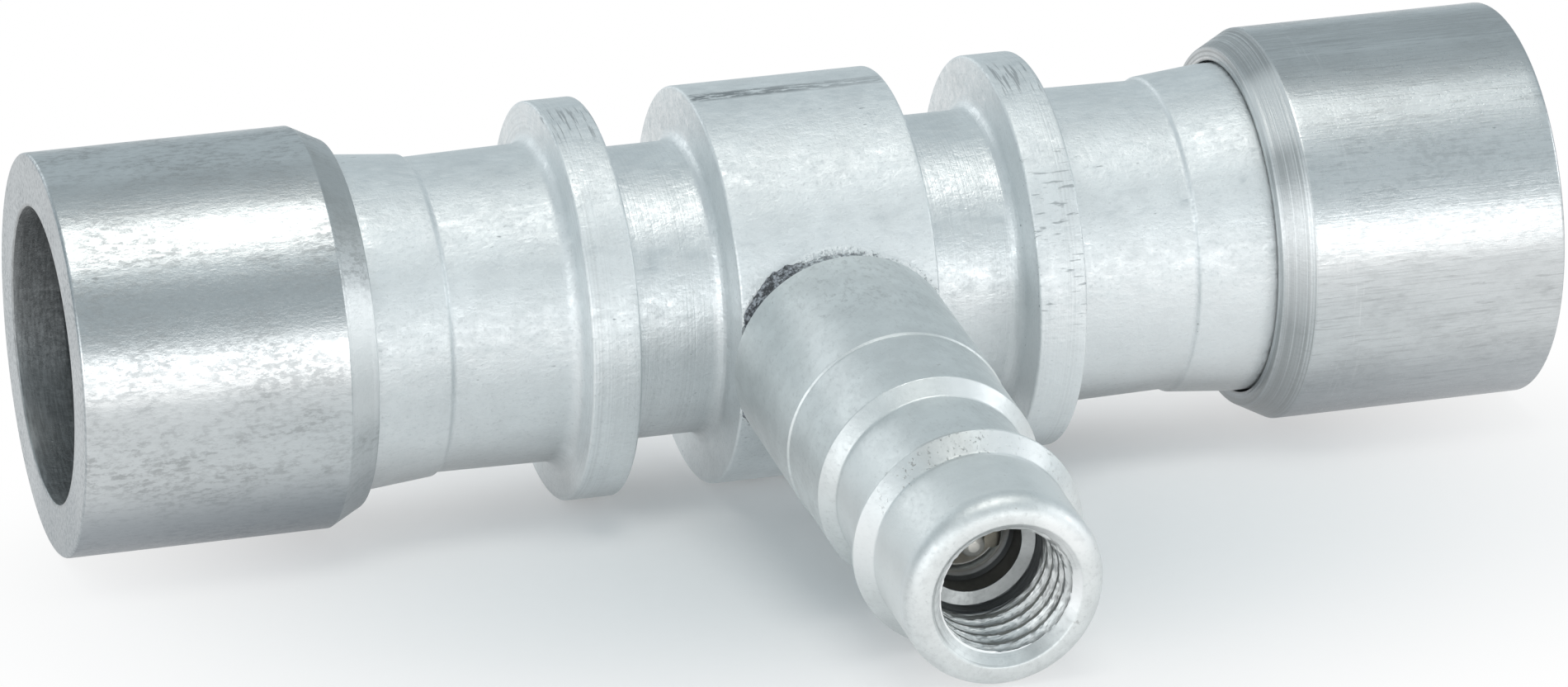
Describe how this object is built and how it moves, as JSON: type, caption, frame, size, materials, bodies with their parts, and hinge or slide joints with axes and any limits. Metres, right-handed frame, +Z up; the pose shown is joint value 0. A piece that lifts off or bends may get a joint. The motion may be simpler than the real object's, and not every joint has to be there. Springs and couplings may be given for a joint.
{
  "type": "compression tube coupling",
  "caption": "Aluminium compression tube coupling: turned body with flanges and a middle collar, sliding compression rings at its ends, and a brazed side service port with a valve core.",
  "frame": {"origin": "middle of the box of the part, at its base, where the fitting lies on a flat surface", "axes": "+X along the run towards the right ring, -Y towards the mouth of the service port, +Z up"},
  "size_m": [0.085, 0.0526, 0.0224],
  "materials": {
    "satin_aluminium": "satin, turned",
    "drawn_aluminium": "bare drawn, scuffed",
    "port_aluminium": "satin, turned",
    "braze_filler": "rough, dark",
    "core_brass": "machined",
    "pin_nickel": "plated",
    "spring_steel": "wire",
    "gasket_fluoropolymer": "moulded",
    "seal_rubber": "matte"
  },
  "bodies": {
    "coupling": {"coupling_body": "satin_aluminium", "service_port": "port_aluminium", "braze_ring": "braze_filler", "core_plug": "core_brass", "core_barrel": "core_brass", "barrel_gasket": "gasket_fluoropolymer", "valve_spring": "spring_steel"},
    "left_ring": {"left_compression_ring": "drawn_aluminium"},
    "right_ring": {"right_compression_ring": "drawn_aluminium"},
    "valve": {"valve_pin": "pin_nickel", "poppet_cup": "core_brass", "poppet_seal": "seal_rubber"}
  },
  "joints": [
    {"name": "left_ring_slide", "type": "slide", "parent": "coupling", "child": "left_ring", "axis": [1, 0, 0], "range_m": [0, 0.01145]},
    {"name": "right_ring_slide", "type": "slide", "parent": "coupling", "child": "right_ring", "axis": [-1, 0, 0], "range_m": [0, 0.01145]},
    {"name": "valve_pin_press", "type": "slide", "parent": "coupling", "child": "valve", "axis": [0, 0.9897, 0.1433], "range_m": [0, 0.0014], "stiffness_N_per_m": 900, "springref_m": -0.001, "deforming": ["valve_spring"]}
  ]
}
